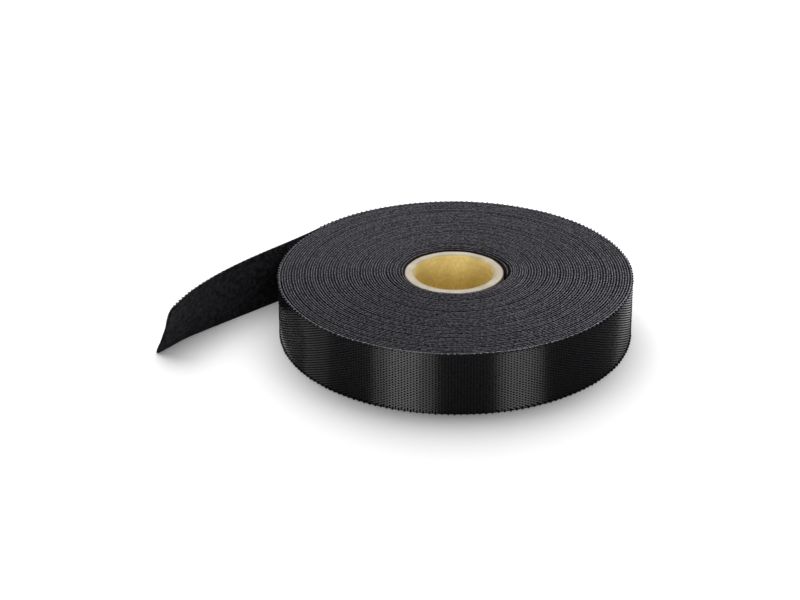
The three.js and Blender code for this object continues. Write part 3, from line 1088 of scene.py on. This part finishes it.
class TAPE_OT_tail(BuildOperator):
    """Builds the free tail: ribbed hook web, loop web, hooks and pile, in two stretches"""

    bl_idname = "tape.tail"
    bl_label = "Tail"

    def build(self, scene):
        """The near stretch runs from the roll to the split, the far one from the split to the tip. Every
        piece is made of stations along the tail, so both stretches meet where they split."""
        tape = scene.tape_sizes
        tail = scene.tail_sizes
        rng = np.random.default_rng(23)
        film = [film_material(), edge_material("tail_edge", 0.1)]
        cloth = [pile_material(), pile_material()]

        # Distance between stations, what the knife took off each edge, fibres for each millimetre of the
        # tail, and how far inside the edges they stand
        station = 0.46 * MM
        trim = 0.02 * MM
        density = 380
        margin = 0.12 * MM
        stretches = (
            ("near", 0.0, tail.split, "roll", "tail", (0.0, tail.peel_zone)),
            ("far", tail.split, tail.length, "tail", "tail_tip", (tail.flex_start, tail.flex_end)),
        )
        for name, start, end, body, child, bend in stretches:
            ends = tail_path(tape, tail, np.array(bend)).point

            def finish(piece, slot, *nodes):
                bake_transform(piece)
                dress(nodes)
                return piece

            along = np.linspace(start, end, int((end - start) / station) + 1)
            path = tail_path(tape, tail, along)
            low = np.full(len(along), trim)
            high = np.full(len(along), tape.width - trim)
            section = ribbed_section(tape, low, high)

            def cut(height):
                return end_cut(tape, tail, along[:, None], height)

            web = web_piece(f"{name}_hook_web", path, tail.lift, section, film, cut)
            finish(web, "hook_plastic", f"{child}_hook_web")
            nap = nap_at(tape, tail, along)
            section = web_section(nap, BOND, low + INSET, high - INSET, 16)
            loop = web_piece(f"{name}_loop_web", path, tail.lift, section, cloth, cut)
            finish(loop, "loop_fabric", f"{child}_loop_web")

            column = np.arange(int(math.ceil(start / tape.column + 0.5)), int(end / tape.column))
            rows = np.arange(HOOK_ROWS)
            spot = np.repeat(column * tape.column, HOOK_ROWS)
            spot = spot + rng.uniform(-0.04, 0.04, len(spot)) * MM
            height = hook_heights(tape, np.repeat(column + 1, HOOK_ROWS), np.tile(rows, len(column)))
            offset = hook_feet(tape, len(spot))
            scale = rng.uniform(0.92, 1.06, len(spot))
            shift, foot = end_cut(tape, tail, spot, height)
            path = tail_path(tape, tail, spot)
            shape = free_hook_shape(tape)
            points, groups = stamp(path, tail.lift, shape, offset + foot, height, scale, shift)
            hooks = add_piece(f"{name}_hooks", points, groups, [hook_material()], False)
            finish(hooks, "hook_plastic")

            count = int((end - start) / MM) * density
            spot = rng.uniform(start + 0.1 * MM, end - 0.05 * MM, count)
            path = tail_path(tape, tail, spot)
            share = np.clip(rng.uniform(-0.1, 1.1, (count, 1)), 0.0, 1.0)
            height = margin + share * (tape.width - 2 * margin)
            shift, foot = end_cut(tape, tail, spot[:, None], height)
            level = nap_at(tape, tail, spot)[:, None] - FIBRE_SUNK
            base = place(path, tail.lift, foot + level, height, shift)[:, 0]
            _, forward, across, up = frame_of(path, tail.lift)
            outwards = np.where(share == 1.0, 1.0, np.where(share == 0.0, -1.0, 0.0))
            upwards = rng.normal(0.0, 0.5, (count, 1)) + outwards * rng.uniform(0.4, 2.2, (count, 1))
            direction = across + rng.normal(0.0, 0.55, (count, 1)) * forward + upwards * up
            size = rng.uniform(0.2, 0.46, count) * MM
            points, groups = spikes(base, direction, size, FIBRE_RADIUS)
            pile = finish(add_piece(f"{name}_pile", points, groups, cloth[:1], False), "loop_fabric")


class TAPE_OT_stage(BuildOperator):
    """Builds the floor, the lamps, the surroundings and the camera"""

    bl_idname = "tape.stage"
    bl_label = "Stage"

    def build(self, scene):
        """The floor is one wide plane. It glows a little in the camera's own view, and more in reflections
        beyond a distance from a spot at the roll's front right: the glow in reflections is a painted
        reflection, and its absence near the roll is painted shadow of the roll. Each lamp is a rectangle
        that faces the roll; its power is four times its area times its brightness. It lights one
        collection: the tape, its outermost turn, the core, or the core and the floor."""
        stage = scene.stage_settings
        reach = 4.0
        points = reach * np.array([(-1, -1, 0), (1, -1, 0), (1, 1, 0), (-1, 1, 0)])
        material, tree, surface, coordinates = new_material("floor", roughness=0.9, specular=0.0)
        surface.inputs["Base Color"].default_value = (*stage.floor, 1.0)
        surface.inputs["Emission Color"].default_value = (1.0, 1.0, 1.0, 1.0)
        # In reflections the floor glows as a painted reflection, except within a reach of a spot at the
        # roll's front right, which stands for the roll's shadow there: painted shadow
        roll_shadow_spot = (AXIS[0] + 0.045, AXIS[1] - 0.055, 0.0)
        roll_shadow_reach = {"From Min": 0.07, "From Max": 0.12}
        rays = tree.nodes.new("ShaderNodeLightPath")
        glow = add_node(tree, "ShaderNodeMath", {1: stage.floor_glow}, operation="MULTIPLY")
        shine = add_node(tree, "ShaderNodeMath", {1: stage.floor_shine}, operation="MULTIPLY_ADD")
        either = add_node(tree, "ShaderNodeMath", operation="MAXIMUM")
        apart = add_node(tree, "ShaderNodeVectorMath", {1: roll_shadow_spot}, operation="DISTANCE")
        beyond = add_node(tree, "ShaderNodeMapRange", roll_shadow_reach)
        seen = add_node(tree, "ShaderNodeMath", operation="MULTIPLY")
        join(
            tree,
            (rays, "Is Camera Ray", glow, 0),
            (rays, "Is Glossy Ray", either, 0),
            (rays, "Is Transmission Ray", either, 1),
            (coordinates, "Object", apart, 0),
            (apart, "Value", beyond, "Value"),
            (either, 0, seen, 0),
            (beyond, "Result", seen, 1),
            (seen, 0, shine, 0),
            (glow, 0, shine, 2),
            (shine, 0, surface, "Emission Strength"),
        )
        floor = add_piece("floor", points, [(np.arange(4)[None], 0)], [material], False)
        floor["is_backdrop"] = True

        wound, core, side, beside = map(bpy.data.collections.new, ("tape", "core", "side", "beside"))
        beside.objects.link(floor)
        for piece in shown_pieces():
            lit = (core, beside) if piece.name.startswith("core") else (wound,)
            if piece.name.startswith(("outer", "rim")):
                lit = (wound, side)
            for collection in lit:
                collection.objects.link(piece)

        # Each lamp's name, which is its brightness's too, its azimuth, elevation, distance and size, and
        # what it lights
        lamps = (
            ("key", 87.0, 56.0, 1.0, (1.32, 1.32), beside),
            ("tape_key", 87.0, 56.0, 1.0, (1.32, 1.32), wound),
            ("left_side", 175.0, 48.0, 1.0, (0.8, 0.8), wound),
            ("right_side", 12.0, 48.0, 0.28, (0.22, 0.22), wound),
            ("left_strip", -122.6, 26.4, 0.62, (0.39, 0.3), side),
            ("left_centre", -122.6, 26.4, 0.61, (0.19, 0.3), side),
            ("right_strip", -52.6, 26.4, 0.62, (0.29, 0.3), side),
            ("right_centre", -53.4, 26.4, 0.61, (0.15, 0.3), side),
            ("right_edge", 54.0, 2.4, 0.62, (0.5, 0.05), side),
            ("left_fill", 176.0, 11.0, 0.62, (0.26, 0.2), wound),
            ("front_fill", -92.0, 14.0, 0.62, (0.5, 0.22), core),
        )
        for name, azimuth, elevation, distance, size, lit in lamps:
            lamp = self.lamp(name, azimuth, elevation, distance, size, getattr(stage, name))
            lamp.light_linking.receiver_collection = lit

        world = bpy.data.worlds.new("surroundings")
        world.use_nodes = True
        sky = world.node_tree.nodes["Background"]
        sky.inputs["Color"].default_value = (1.0, 1.0, 1.0, 1.0)
        sky.inputs["Strength"].default_value = stage.sky
        scene.world = world

        camera = bpy.data.cameras.new("camera")
        camera.lens = stage.lens
        camera.sensor_width = 36.0
        camera.clip_start = 0.01
        holder = bpy.data.objects.new("camera", camera)
        turned = Matrix.Rotation(-stage.yaw, 3, "Z") @ Matrix.Rotation(math.pi / 2 - stage.pitch, 3, "X")
        turned = turned @ Matrix.Rotation(stage.roll, 3, "Z")
        place_of_camera = Vector((AXIS[0], AXIS[1], 0.0)) + Vector(stage.camera)
        holder.matrix_world = Matrix.LocRotScale(place_of_camera, turned, None)
        scene.collection.objects.link(holder)
        scene.camera = holder
        scene.view_settings.view_transform = "Standard"

    def lamp(self, name, azimuth, elevation, distance, size, brightness):
        """Rectangular lamp in a direction, in degrees, from the middle of the roll, which it faces."""
        target = Vector((AXIS[0], AXIS[1], 0.01))
        light = bpy.data.lights.new(name, "AREA")
        light.shape = "RECTANGLE"
        light.size = size[0]
        light.size_y = size[1]
        light.energy = 4.0 * size[0] * size[1] * brightness
        turn = math.radians(azimuth)
        rise = math.radians(elevation)
        across = math.cos(rise)
        direction = Vector((across * math.cos(turn), across * math.sin(turn), math.sin(rise)))
        holder = bpy.data.objects.new(name, light)
        turned = direction.to_track_quat("Z", "Y").to_matrix()
        holder.matrix_world = Matrix.LocRotScale(target + direction * distance, turned, None)
        holder.visible_camera = False
        bpy.context.scene.collection.objects.link(holder)
        return holder


OPERATORS = (TAPE_OT_core, TAPE_OT_winding, TAPE_OT_edges, TAPE_OT_hooks, TAPE_OT_tail, TAPE_OT_stage)


class TAPE_PT_panel(bpy.types.Panel):
    """Lists the operators that build the roll and its stage"""

    bl_idname = "TAPE_PT_panel"
    bl_label = "Tape Roll"
    bl_space_type = "VIEW_3D"
    bl_region_type = "UI"
    bl_category = "Tape Roll"

    def draw(self, context):
        for operator in OPERATORS:
            self.layout.operator(operator.bl_idname)


GROUPS = {
    "tape_sizes": TapeSizes,
    "tail_sizes": TailSizes,
    "core_sizes": CoreSizes,
    "part_colours": PartColours,
    "stage_settings": StageSettings,
}


def register():
    """Registers the settings, the operators and the panel."""
    for name, group in GROUPS.items():
        bpy.utils.register_class(group)
        setattr(bpy.types.Scene, name, bpy.props.PointerProperty(type=group))
    for kind in (*OPERATORS, TAPE_PT_panel):
        bpy.utils.register_class(kind)


def unregister():
    """Takes away what register added."""
    for kind in reversed((*OPERATORS, TAPE_PT_panel)):
        bpy.utils.unregister_class(kind)
    for name, group in reversed(GROUPS.items()):
        delattr(bpy.types.Scene, name)
        bpy.utils.unregister_class(group)


def main():
    register()
    bpy.ops.tape.core()
    bpy.ops.tape.winding()
    bpy.ops.tape.edges()
    bpy.ops.tape.hooks()
    bpy.ops.tape.tail()
    bpy.ops.tape.stage()


if __name__ == "__main__":
    main()
